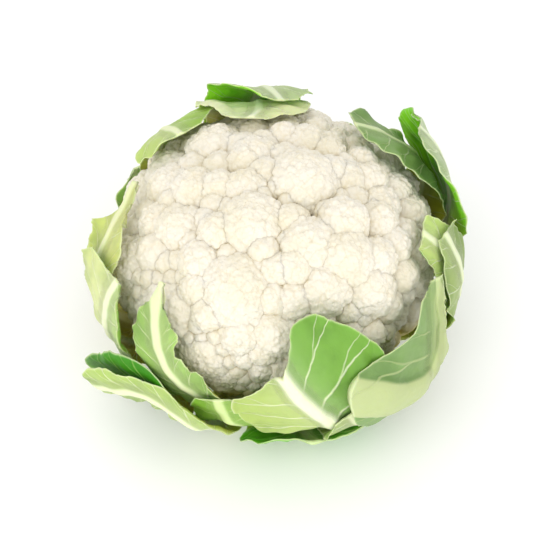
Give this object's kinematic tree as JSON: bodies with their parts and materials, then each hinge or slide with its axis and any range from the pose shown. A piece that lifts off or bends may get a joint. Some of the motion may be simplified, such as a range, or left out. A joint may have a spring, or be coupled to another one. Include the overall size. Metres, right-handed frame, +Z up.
{
  "type": "cauliflower",
  "caption": "Cauliflower head: a rounded ivory curd of packed florets inside a ring of trimmed, ribbed green jacket leaves, standing upright on its flat cut stump",
  "frame": {"origin": "centre of the flat cut face under the stump, which the head stands on", "axes": "+Z up through the top of the curd, -Y towards the front that the picture shows at the bottom of the picture, +X to the right as seen from the front"},
  "size_m": [0.191, 0.1915, 0.1216],
  "materials": {
    "curd_ivory": "matt, finely grained, ivory",
    "leaf_green": "satin, waxy, pale ribs on green",
    "stump_pale": "matt, cut across, pale green"
  },
  "bodies": {
    "root": {"curd": "curd_ivory", "stump": "stump_pale", "leaf_left_inner": "leaf_green", "leaf_left_upper": "leaf_green", "leaf_back_left": "leaf_green", "leaf_back_inner": "leaf_green", "leaf_back_right": "leaf_green", "leaf_right": "leaf_green", "leaf_front_right_inner": "leaf_green", "leaf_front_low_left": "leaf_green", "leaf_left": "leaf_green", "leaf_left_low": "leaf_green", "leaf_front": "leaf_green", "leaf_right_outer": "leaf_green", "leaf_back_right_outer": "leaf_green", "leaf_back": "leaf_green", "leaf_back_low_left": "leaf_green", "leaf_back_low_right": "leaf_green", "leaf_front_left": "leaf_green", "leaf_front_right": "leaf_green", "leaf_front_low": "leaf_green"}
  },
  "joints": []
}
